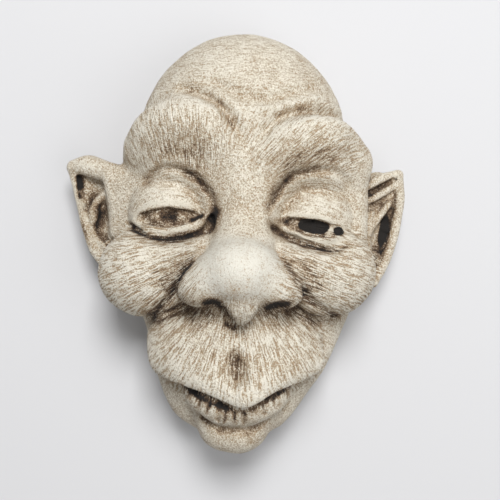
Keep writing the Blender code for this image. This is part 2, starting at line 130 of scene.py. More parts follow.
def oval(points, centre, radii, turn=0, tip=0, swing=0):
    """Distance from an ellipsoid."""
    local = (points - np.array(centre, float)) @ turned(turn, tip, swing)
    radii = np.array(radii, float)
    near = np.linalg.norm(local / radii, axis=1)
    steep = np.maximum(np.linalg.norm(local / radii**2, axis=1), 1e-6)
    return near * (near - 1) / steep


def tube(points, stations):
    """Distance from a round roll whose thickness changes along it."""
    line = through(stations)
    found = np.full(len(points), FAR)
    for start, end in zip(line[:-1], line[1:]):
        along = end[:3] - start[:3]
        t = np.clip((points - start[:3]) @ along / max(along @ along, 1e-9), 0, 1)
        gap = np.linalg.norm(points - start[:3] - t[:, None] * along, axis=1)
        found = np.minimum(found, gap - (start[3] + t * (end[3] - start[3])))
    return found


class Field:
    """How far each point is from the skin, with points inside the clay below zero."""

    def __init__(self, points):
        self.points = points
        self.value = np.full(len(points), FAR)

    def near(self, centre, size, soft):
        """The points that a feature can touch: no further from it than its blend and a few steps."""
        gap = np.abs(self.points - np.array(centre, float)) - np.array(size, float)
        return np.flatnonzero((gap < soft + 3 * LONGEST_STEP).all(axis=1))

    def lump(self, centre, radii, soft=2.0, **turns):
        near = self.near(centre, [max(radii)] * 3, soft)
        added = oval(self.points[near], centre, radii, **turns)
        self.value[near] = join(self.value[near], added, soft)

    def cut(self, centre, radii, soft=2.0, **turns):
        near = self.near(centre, [max(radii)] * 3, soft)
        taken = oval(self.points[near], centre, radii, **turns)
        self.value[near] = meet(self.value[near], -taken, soft)

    def roll(self, stations, soft=2.0):
        rows = np.array(stations, float)
        low, high = rows.min(axis=0), rows.max(axis=0)
        near = self.near((low + high)[:3] / 2, (high - low)[:3] / 2 + high[3], soft)
        added = tube(self.points[near], stations)
        self.value[near] = join(self.value[near], added, soft)

    def slit(self, stations, soft=1.0):
        rows = np.array(stations, float)
        low, high = rows.min(axis=0), rows.max(axis=0)
        near = self.near((low + high)[:3] / 2, (high - low)[:3] / 2 + high[3], soft)
        taken = tube(self.points[near], stations)
        self.value[near] = meet(self.value[near], -taken, soft)

    def eye(self, centre, ball, lid, upper, lower, soft):
        """An eyeball with lids round it, open between two lines drawn across the face."""
        near = self.near(centre, [lid] * 3, soft)
        points = self.points[near]
        gap = np.linalg.norm(points - np.array(centre, float), axis=1)
        top, bottom = through(upper), through(lower)
        across, up = points[:, 0], points[:, 2]
        opening = np.minimum(
            np.interp(across, top[:, 0], top[:, 1]) - up,
            up - np.interp(across, bottom[:, 0], bottom[:, 1]),
        )
        lids = meet(gap - lid, opening, 0.5)
        self.value[near] = join(self.value[near], join(lids, gap - ball, 0.3), soft)


def skull(clay):
    clay.lump((1, 15, 36.3), (42, 37, 46.7))
    clay.lump((1, 12, 18), (45.5, 32, 32), soft=8)
    clay.lump((0.5, 12, -5), (43, 30, 64), soft=10)
    clay.lump((0, 36, -22), (20, 18, 18), soft=2)
    clay.roll([(-39, 25, 32, 6.5), (-39, 24, 18, 6.3), (-39, 24, 6, 6.3), (-39, 27, -5, 7)], soft=5)
    clay.roll([(42, 28, 30, 7.5), (42.5, 27, 18, 7), (42.3, 27, 6, 7), (41, 28, -5, 8)], soft=5)


def jaw(clay):
    clay.lump((-1, 20, -42), (31, 22, 25), soft=8)
    clay.lump((-13.5, 22, -53), (15.5, 19, 14), soft=4)
    clay.roll(
        [
            (33.5, 18, -25, 10),
            (28, 19, -37, 10),
            (22.8, 21, -45.5, 10.2),
            (17.5, 23, -52.5, 10.2),
            (13.8, 24, -58.5, 10),
            (9.8, 25, -63.2, 9.8),
        ],
        soft=4,
    )
    clay.roll([(-24, 20, -50, 8), (-19.6, 22, -60.4, 8.4), (-14.8, 23, -64, 8.4)], soft=4)
    clay.lump((-1, 29, -69.4), (12.3, 17, 10.4), soft=3, tip=-8)
    clay.lump((-7.5, 28, -68.5), (9, 16, 9.3), soft=3, tip=-8)
    clay.lump((-1, 33, -64), (15, 13.5, 9), soft=4)


def cheeks(clay):
    clay.lump((-35, 34, -11), (18.5, 20, 17), soft=3)
    clay.lump((-20, 39, -6), (17, 13, 11), soft=6, turn=12)
    clay.lump((33.5, 34, -11), (18, 20, 17), soft=3)
    clay.lump((21, 39, -8), (17, 13, 11), soft=6, turn=-12)
    clay.roll([(-15, 43, -4, 6), (-19, 44, -10, 6), (-22, 43, -15, 5.5), (-24, 40, -18, 5)], soft=5)
    clay.roll([(17, 43, -5, 6), (21, 44, -11, 6), (24.5, 43, -16, 5.5), (26.5, 40, -19, 5)], soft=5)


# The edge of the upper lip, which stands out over the lower one.
UPPER_LIP = [
    (-27, 42, -49),
    (-22, 48, -50.5),
    (-17, 52, -52),
    (-11, 56, -54),
    (-5, 59, -56.5),
    (1, 61, -58.5),
    (5, 60.5, -57.5),
    (9.5, 58, -54.5),
    (15.5, 54, -52.3),
    (20, 50, -51),
    (26, 43, -49),
]


def under_lip(out, up, radius):
    """A roll that runs along the upper lip's edge, further out and up than it by these amounts."""
    return [(across, lip_out + out, lip_up + up, radius) for across, lip_out, lip_up in UPPER_LIP]


def muzzle(clay):
    clay.lump((-2.2, 28, -36), (33.5, 29, 19), soft=3, tip=-15)
    clay.roll(under_lip(-5, 4.5, 5), soft=8)
    clay.slit(under_lip(-3, -5, 5), soft=0.8)
    clay.lump((-1, 36, -53.5), (20.5, 20, 14), soft=1, tip=-20)
    clay.slit(under_lip(-4, -1.9, 1.2), soft=0.6)
    clay.cut((-1.3, 63, -43), (3.9, 9, 8.5), soft=2, tip=20)


def brows(clay):
    clay.lump((-19, 26, 36), (22.5, 22, 16), soft=5)
    clay.roll(
        [
            (-37, 31, 37, 7),
            (-31, 38.5, 42, 8.5),
            (-22, 43.5, 44, 9.5),
            (-12, 45.5, 42, 9.5),
            (-5, 45, 36, 9),
            (-1, 44, 27, 8),
            (0, 44, 18, 8),
        ],
        soft=5,
    )
    clay.lump((24, 26, 30), (22, 22, 15), soft=5)
    clay.roll(
        [
            (5, 44, 18, 8),
            (8, 44, 25, 8),
            (14, 45, 33, 9),
            (22, 45.5, 37.5, 9.5),
            (30, 42.5, 38.5, 9.5),
            (36.5, 35, 37, 8.7),
            (41.5, 29, 31, 8.5),
        ],
        soft=5,
    )


LEFT_EYE = (-25.5, 27, 11)
RIGHT_EYE = (27, 26.5, 8.5)
EYEBALL = 15.4
LID = 17.6
LEFT_UPPER = [(-39.5, 9.4), (-34, 12.1), (-27, 13.1), (-19, 12.4), (-12, 10.6)]
LEFT_LOWER = [(-39.5, 9.4), (-36, 7.2), (-30.7, 5.8), (-24.8, 5.4), (-18, 7.3), (-12, 10.6)]
RIGHT_UPPER = [(12.1, 8.5), (15, 9.7), (20, 9.5), (27.4, 8.7), (35, 6.9), (40, 4.5)]
RIGHT_LOWER = [(12.1, 8.5), (15.4, 6.2), (21, 4.3), (24.5, 2.5), (29, 1.7), (35.4, 1.7), (40, 4.5)]


def lid_rim(clay, centre, line, radius, drop):
    """The thick edge of a lower lid, on the round of the lid below its opening."""
    stations = []
    for across, up in line:
        sideways, down = across - centre[0], up - drop - centre[2]
        out = math.sqrt(max(LID**2 - sideways**2 - down**2, 9.0))
        stations.append((across, centre[1] + out - 0.8, up - drop, radius))
    clay.roll(stations, soft=0.6)


def eyes(clay):
    clay.cut((-25, 62, 13.5), (17.5, 25, 15.5), soft=4)
    clay.cut((27, 61, 11), (17.5, 25, 15.5), soft=4)
    clay.eye(LEFT_EYE, EYEBALL, LID, LEFT_UPPER, LEFT_LOWER, soft=1.2)
    clay.eye(RIGHT_EYE, EYEBALL, LID, RIGHT_UPPER, RIGHT_LOWER, soft=1.2)
    lid_rim(clay, LEFT_EYE, LEFT_LOWER, 1.4, 1.4)
    lid_rim(clay, RIGHT_EYE, RIGHT_LOWER, 1.1, 1.2)
    lid_rim(clay, LEFT_EYE, LEFT_UPPER, 0.9, -0.7)
    lid_rim(clay, RIGHT_EYE, RIGHT_UPPER, 0.9, -0.7)
    clay.cut((-26.1, 43.8, 9.6), (4.6, 3.6, 3.5), soft=0.6)
    clay.cut((-35.6, 39.5, 8.9), (2.2, 3, 2.4), soft=0.6)
    clay.slit([(-17.5, 40.5, 8.2, 0.6), (-14.5, 39, 9.3, 0.8), (-12.5, 37.5, 10.3, 0.6)], soft=0.4)
    clay.cut((-9.4, 43, 6.6), (2.5, 8, 4.4), soft=1.5)
    clay.cut((27.4, 42, 6), (5, 7, 2.7), soft=0.6, turn=-8)
    clay.cut((36.4, 40, 4.2), (1.7, 5, 1.6), soft=0.5)
    clay.roll([(31.7, 41.2, 3.4, 0.8), (33, 41.2, 4.8, 0.8), (34.5, 40.5, 4.2, 0.8)], soft=0.5)


def nose(clay):
    clay.roll([(2.5, 40, 28, 8), (2.5, 42, 16, 9.5), (2, 44, 5, 11), (0.5, 52, -7, 12)], soft=4)
    clay.lump((0.5, 58, -10.5), (14, 16.5, 12), soft=2.5)
    clay.lump((-12.5, 56, -14.5), (10, 11, 8), soft=6, turn=-20)
    clay.lump((13.5, 56, -15.5), (10, 11, 8), soft=6, turn=20)
    clay.roll([(1.2, 50, -20, 7), (1.2, 50, -30, 5)], soft=3)
    clay.roll([(1.5, 61, -17, 7.5), (1.3, 62, -22, 5.5), (1.1, 60, -27.5, 1.8)], soft=2)
    clay.cut((-9.3, 65, -24.6), (5.2, 9, 4.6), soft=0.8)
    clay.cut((13.8, 65, -25.2), (5.8, 9, 4.8), soft=0.8)


def left_ear(clay):
    clay.lump((-49, 14, 11), (9, 9, 20), soft=3)
    clay.lump((-53.5, 13, 13), (11, 6, 21), soft=2, turn=-10)
    clay.lump((-60, 12.5, 25), (6, 4.5, 8), soft=2, turn=-10)
    clay.cut((-57.5, 22, 15), (5, 6, 15), soft=1.5, turn=-14)
    clay.roll(
        [(-66, 18, 30.5, 2.8), (-60, 19, 30.6, 4.2), (-54, 21, 28.5, 4.2), (-47, 24, 26.5, 4)],
        soft=2,
    )
    clay.roll(
        [
            (-66.6, 17.5, 30, 2.4),
            (-65.5, 17.5, 23, 1.5),
            (-63.6, 17.5, 15, 1.5),
            (-61.5, 18, 7, 1.7),
            (-58, 19, -2, 2),
            (-53, 21, -8, 2.5),
        ],
        soft=1.2,
    )
    clay.roll([(-50, 24.5, 25, 3.4), (-49.5, 23.5, 19, 2.8), (-48, 23.5, 12, 3), (-48, 23, 4, 3)], soft=2)
    clay.roll([(-44.5, 24.5, 25, 4), (-44, 24.5, 13, 4), (-43.5, 24, 2, 4)], soft=3)
    clay.roll(
        [
            (-53.5, 19.5, 20, 1.3),
            (-57.5, 18, 15.5, 1.8),
            (-58.2, 18, 11.5, 2.4),
            (-58.5, 17.5, 6.5, 1.5),
            (-57, 18, 2.5, 1.5),
            (-53.5, 20, -1.5, 1.8),
        ],
        soft=1.2,
    )
    clay.slit([(-64, 18, 26, 1.1), (-63.2, 17.5, 17, 0.9), (-60.6, 17.5, 9.5, 0.9)], soft=0.6)
    clay.slit([(-54.3, 19, 12, 1), (-56, 18.5, 7, 1.2), (-55, 19, 3.4, 1.3), (-52, 20.5, 0, 1)], soft=0.8)


def right_ear(clay):
    clay.lump((50, 14, 5), (9, 9, 20), soft=3)
    clay.lump((53, 13, 7), (10.5, 6, 21), soft=2, turn=7)
    clay.lump((56, 13, 20), (9, 5, 8.5), soft=2, turn=20)
    clay.cut((57, 22, 9), (4.6, 5.5, 15), soft=1.5, turn=12)
    clay.roll(
        [(46, 24, 21, 2.4), (51.5, 21.5, 23.4, 2), (57, 19, 26, 1.8), (63, 17.5, 27.2, 1.8)],
        soft=1.2,
    )
    clay.roll(
        [
            (63, 17.5, 26.8, 1.9),
            (63.6, 17.5, 18, 2),
            (62, 17.5, 8, 2),
            (60, 18, 0, 2.1),
            (56.5, 19, -8.5, 2.2),
            (52, 21, -15, 2.7),
        ],
        soft=1.2,
    )
    clay.roll(
        [(47, 23.5, 15, 1.8), (51.5, 21, 17, 1.6), (56.5, 19, 20, 1.6), (62, 17.5, 23.5, 1.5)],
        soft=1,
    )
    clay.roll([(50, 22, 4, 1.8), (53.4, 20, 8.6, 1.7), (56, 19, 12, 1.6), (59, 18, 15.5, 1.5)], soft=1.2)
    clay.slit([(51.5, 22, 20.2, 1), (56.5, 20, 22.6, 1.1), (61.5, 18.5, 25.6, 0.8)], soft=0.8)
    clay.slit([(50.5, 22, 14, 1.4), (54, 20.5, 15, 1.5), (57, 19.5, 17, 1.1)], soft=1)
    clay.slit(
        [
            (57, 17.5, 10.5, 1.2),
            (58, 16.5, 6.5, 2),
            (56.8, 17, 1.5, 2.2),
            (54.2, 18.5, -3, 1.9),
            (52, 20.5, -6, 1.3),
        ],
        soft=0.8,
    )


def model_face(clay):
    skull(clay)
    jaw(clay)
    brows(clay)
    cheeks(clay)
    muzzle(clay)
    eyes(clay)
    nose(clay)
    left_ear(clay)
    right_ear(clay)


# Lines drawn into the skin, seen from the front: points (across, up), half width, depth.
# A depth below zero raises a ridge.
LINES = [
    ([(-17, 57.4), (-9, 58.2), (-3, 55.4), (3, 52.6), (9.4, 51.7), (19, 55), (30, 59)], 2.1, 1.5),
    ([(-24, 57.5), (-18.5, 56.5), (-11, 52.5), (-6.5, 49), (-3.7, 45), (-1, 41), (4, 31)], 2.1, 2.2),
    ([(42, 48), (33.5, 48.8), (24, 47.6), (15.5, 45.2), (9.8, 40.5), (6, 34)], 2.3, 2.1),
    ([(-10, 54.5), (-4, 51), (0.5, 47), (3.5, 41)], 1.6, -0.7),
    ([(4, 48.6), (10, 48.4), (17, 50.2), (26, 53.3), (34, 55.5)], 1.6, -0.9),
    ([(-37, 20), (-33, 25), (-28.7, 27.4), (-22, 27), (-16, 24), (-11.5, 19), (-7, 9)], 1.5, 1.3),
    ([(-42, 8), (-36, 3), (-27.3, 0.8), (-19, 2), (-12.5, 4.8), (-9, 8)], 1.4, 2.4),
    ([(10, 10), (11.5, 14), (15, 20), (19.5, 24.5), (25, 26), (31, 26.6), (38, 25), (43, 20)], 1.5, 1.3),
    ([(10.5, 9), (13, 4.8), (21, 0.8), (27, -1.4), (34, -3), (41, -0.3)], 1.4, 2.4),
    ([(-15, -5), (-18.5, -9), (-22, -15), (-27, -22), (-34, -28), (-38, -32)], 1.4, 1.1),
    ([(14, -4), (18, -10), (23, -17), (28, -22), (35, -26.5), (42, -29)], 1.4, 1.1),
    ([(-17.5, -59.5), (-13.3, -64.6), (-8.2, -67.9), (-1.6, -68.8), (5, -68.4), (13.4, -63.2)], 1.1, 1.0),
    ([(3, -31), (3.6, -38), (4.6, -46), (6.5, -53)], 1.6, -0.8),
]


LIP_WRINKLES = 11
LIP_MIDDLE = (-1.0, -59.5)
LIP_HALF_WIDTH = 16.5
LIP_RISE = 6.0  # how far the lip's ends stand above its middle
LIP_DROP = 7.5
LIP_STRAY = 0.9  # how far a wrinkle strays from its even place


def lip_wrinkles():
    """Short strokes that fan out down the lower lip, unevenly spaced, long and deep."""
    for number in range(LIP_WRINKLES):
        share = 2 * number / (LIP_WRINKLES - 1) - 1
        uneven = 0.5 + 0.5 * math.sin(2.4 * number)
        across = LIP_MIDDLE[0] + LIP_HALF_WIDTH * share + LIP_STRAY * math.sin(7 * number)
        top = LIP_MIDDLE[1] + LIP_RISE * share**2
        drop = LIP_DROP * (1 - 0.3 * share**2) * (0.45 + 0.55 * uneven)
        lean = 2.5 * share
        stroke = [(across, top), (across + 0.4 * lean, top - 0.5 * drop), (across + lean, top - drop)]
        yield stroke, 0.45 + 0.3 * uneven, 0.4 + 0.5 * uneven


def drawn_map(lines):
    """Drawn lines as a height map over the face, deeper where a line is deeper."""
    cells = int(2 * RELIEF_SPAN / RELIEF_CELL) + 1
    axis = np.linspace(-RELIEF_SPAN, RELIEF_SPAN, cells)
    depth = np.zeros((cells, cells))
    for line, half_width, amount in lines:
        points = through(line)
        reach = 3 * half_width
        columns = np.flatnonzero((axis > points[:, 0].min() - reach) & (axis < points[:, 0].max() + reach))
        rows = np.flatnonzero((axis > points[:, 1].min() - reach) & (axis < points[:, 1].max() + reach))
        across, up = np.meshgrid(axis[columns], axis[rows], indexing="ij")
        spots = np.stack([across.ravel(), up.ravel()], axis=1)
        best = np.full(len(spots), FAR)
        place = np.zeros(len(spots))
        for index, (start, end) in enumerate(zip(points[:-1], points[1:])):
            along = end - start
            t = np.clip((spots - start) @ along / (along @ along), 0, 1)
            gap = np.linalg.norm(spots - start - t[:, None] * along, axis=1)
            place = np.where(gap < best, (index + t) / (len(points) - 1), place)
            best = np.minimum(best, gap)
        fade = np.clip(np.minimum(place, 1 - place) / LINE_FADE, 0, 1) ** 0.7
        cut = amount * fade * np.exp(-((best / half_width) ** 2))
        window = np.ix_(columns, rows)
        depth[window] = depth[window] + cut.reshape(len(columns), len(rows))
    return depth


def read_map(depth, points):
    """The height map's value at each point, seen from the front."""
    place = np.clip((points[:, [0, 2]] + RELIEF_SPAN) / RELIEF_CELL, 0, len(depth) - 1.001)
    cell = place.astype(int)
    right, above = (place - cell).T
    column, row = cell.T
    return (
        depth[column, row] * (1 - right) * (1 - above)
        + depth[column + 1, row] * right * (1 - above)
        + depth[column, row + 1] * (1 - right) * above
        + depth[column + 1, row + 1] * right * above
    )


class Skin:
    """The face's skin as a field: the clay with the lines drawn into it."""

    def __init__(self):
        self.depth = drawn_map([*LINES, *lip_wrinkles()])

    def lines(self, points):
        return read_map(self.depth, points) * np.clip((points[:, 1] - RELIEF_FROM) / 8, 0, 1)

    def __call__(self, points):
        field = Field(points)
        model_face(field)
        floor = -BEHIND_WALL - points[:, 1]
        return meet(field.value + self.lines(points), floor, 1.0)

    def slope(self, points, step=0.12):
        """The field's value and its gradient."""
        corners = np.array([(1, -1, -1), (-1, -1, 1), (-1, 1, -1), (1, 1, 1)], float)
        values = [self(points + step * corner) for corner in corners]
        rise = sum(value[:, None] * corner for value, corner in zip(values, corners))
        return sum(values) / 4, rise / (4 * step)


# The fine skin


EVENING_SHARE = 0.5  # how far a point, or its stored value, goes towards its neighbours' mean each round
SETTLE_ALONE = 2  # the last rounds of settling, which don't even out
LEAST_SLOPE = 0.25
SMOOTHED = 3  # rounds for what is stored on the points
SLOT_UP = 34.0  # the nail slot's middle
SLOT_ROOM = (8.0, 16.0, 14.0)  # room around it: half its width, its depth and half its height
BACK_KEPT = 0.4  # skin nearer the wall than this stays as the solid has it
BACK_FREE = 2.5  # and from here out it settles in full
SWELL_HEIGHT, SWELL_RATE = 0.22, 0.11
KNOCK_HEIGHT, KNOCK_RATE = 0.12, 0.35
KNOCK_SHIFT = Vector((7, 3, 1))

# Crevices and hollows are sounded out to these reaches, and how shut in they are darkens the colour as
# painted shade along with the wash.
CREVICE_REACH = 1.6
HOLLOW_REACHES = (3.5, 7.0)
EDGE_REACH = 1.6
WASH_OUT = (0.5, 4.0)  # the wash and painted shade gather in hollows only this far out from the wall, and from there in full
WASH_AND_PAINTED_LIGHT_OUT = (7.0, 11.0)  # and the brush strokes of wash, painted shade and painted highlight go on only this far out
FACING = 3.0  # how fast the brush strokes of wash, painted shade and painted highlight end where the skin turns away from the front
WRINKLE_WASH = 0.7


def to_drawn(points):
    """Scene metres as (across, out, up) in drawn millimetres, and the other way round."""
    return points * np.array([1, -1, 1]) / DRAWN


def to_scene(points):
    return points * np.array([1, -1, 1]) * DRAWN


def read_points(mesh):
    points = np.empty(len(mesh.vertices) * 3)
    mesh.vertices.foreach_get("co", points)
    return points.reshape(-1, 3)


def write_points(mesh, points):
    mesh.vertices.foreach_set("co", points.ravel())
    mesh.update()


def applied(obj):
    """The object's mesh with its modifiers applied. The object itself is removed."""
    graph = bpy.context.evaluated_depsgraph_get()
    mesh = bpy.data.meshes.new_from_object(obj.evaluated_get(graph))
    old = obj.data
    bpy.data.objects.remove(obj)
    bpy.data.meshes.remove(old)
    return mesh


def with_modifier(mesh, kind, **settings):
    """The mesh after one modifier."""
    obj = bpy.data.objects.new("working", mesh)
    bpy.context.scene.collection.objects.link(obj)
    modifier = obj.modifiers.new("working", kind)
    for name, value in settings.items():
        setattr(modifier, name, value)
    return applied(obj)


def solid_copy():
    """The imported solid's mesh, merged into one skin."""
    solid = next(obj for obj in bpy.data.objects if obj.name == "stone_face")
    made = bmesh.new()
    made.from_mesh(solid.data)
    bmesh.ops.remove_doubles(made, verts=made.verts, dist=1e-6)
    mesh = bpy.data.meshes.new("skin")
    made.to_mesh(mesh)
    made.free()
    return mesh


def rising(values, low, high):
    """From 0 at low to 1 at high."""
    return np.clip((values - low) / (high - low), 0, 1)


def freedom(points):
    """How freely each point moves, from 0 to 1: not at all on the back and in the nail slot."""
    across, out, up = points.T
    half_width, deep, half_height = SLOT_ROOM
    in_slot = (np.abs(across) < half_width) & (out < deep) & (np.abs(up - SLOT_UP) < half_height)
    return np.where(in_slot, 0, rising(out, BACK_KEPT, BACK_FREE))


class Web:
    """Which points of a mesh are next to each other."""

    def __init__(self, mesh):
        ends = np.empty(len(mesh.edges) * 2, np.int64)
        mesh.edges.foreach_get("vertices", ends)
        self.first, self.second = ends.reshape(-1, 2).T
        self.count = len(mesh.vertices)
        self.neighbours = np.bincount(self.first, minlength=self.count)
        self.neighbours = self.neighbours + np.bincount(self.second, minlength=self.count)

    def mean(self, values):
        """The mean of each point's neighbours."""
        total = np.bincount(self.first, values[self.second], self.count)
        total = total + np.bincount(self.second, values[self.first], self.count)
        return total / self.neighbours


def settle(mesh, skin, rounds):
    """Moves the mesh's points onto the skin, and evens out their spacing along it. The back stays."""
    points = to_drawn(read_points(mesh))
    web = Web(mesh)
    free = freedom(points)[:, None]
    for number in range(rounds):
        value, rise = skin.slope(points)
        steep = np.maximum(np.linalg.norm(rise, axis=1), LEAST_SLOPE)
        normal = rise / steep[:, None]
        step = np.clip(value / steep, -LONGEST_STEP, LONGEST_STEP)
        move = -step[:, None] * normal
        if number < rounds - SETTLE_ALONE:
            shift = np.stack([web.mean(column) for column in points.T], axis=1) - points
            shift -= (shift * normal).sum(axis=1)[:, None] * normal
            move = move + EVENING_SHARE * shift
        points = points + free * move
    write_points(mesh, to_scene(points))


def normals_of(mesh):
    found = np.empty(len(mesh.vertices) * 3)
    mesh.vertices.foreach_get("normal", found)
    return found.reshape(-1, 3) * np.array([1, -1, 1])


def roughen(mesh):
    """Uneven clay: slow swells and small knocks."""
    points, normals = to_drawn(read_points(mesh)), normals_of(mesh)
    height = np.empty(len(points))
    for index, point in enumerate(points):
        place = Vector(point)
        swell = noise.noise(place * SWELL_RATE)
        knock = noise.noise(place * KNOCK_RATE + KNOCK_SHIFT)
        height[index] = SWELL_HEIGHT * swell + KNOCK_HEIGHT * knock
    points = points + normals * (height * freedom(points))[:, None]
    write_points(mesh, to_scene(points))


def store(mesh, name, values):
    layer = mesh.attributes.new(name, "FLOAT", "POINT")
    layer.data.foreach_set("value", np.ascontiguousarray(values, np.float32))


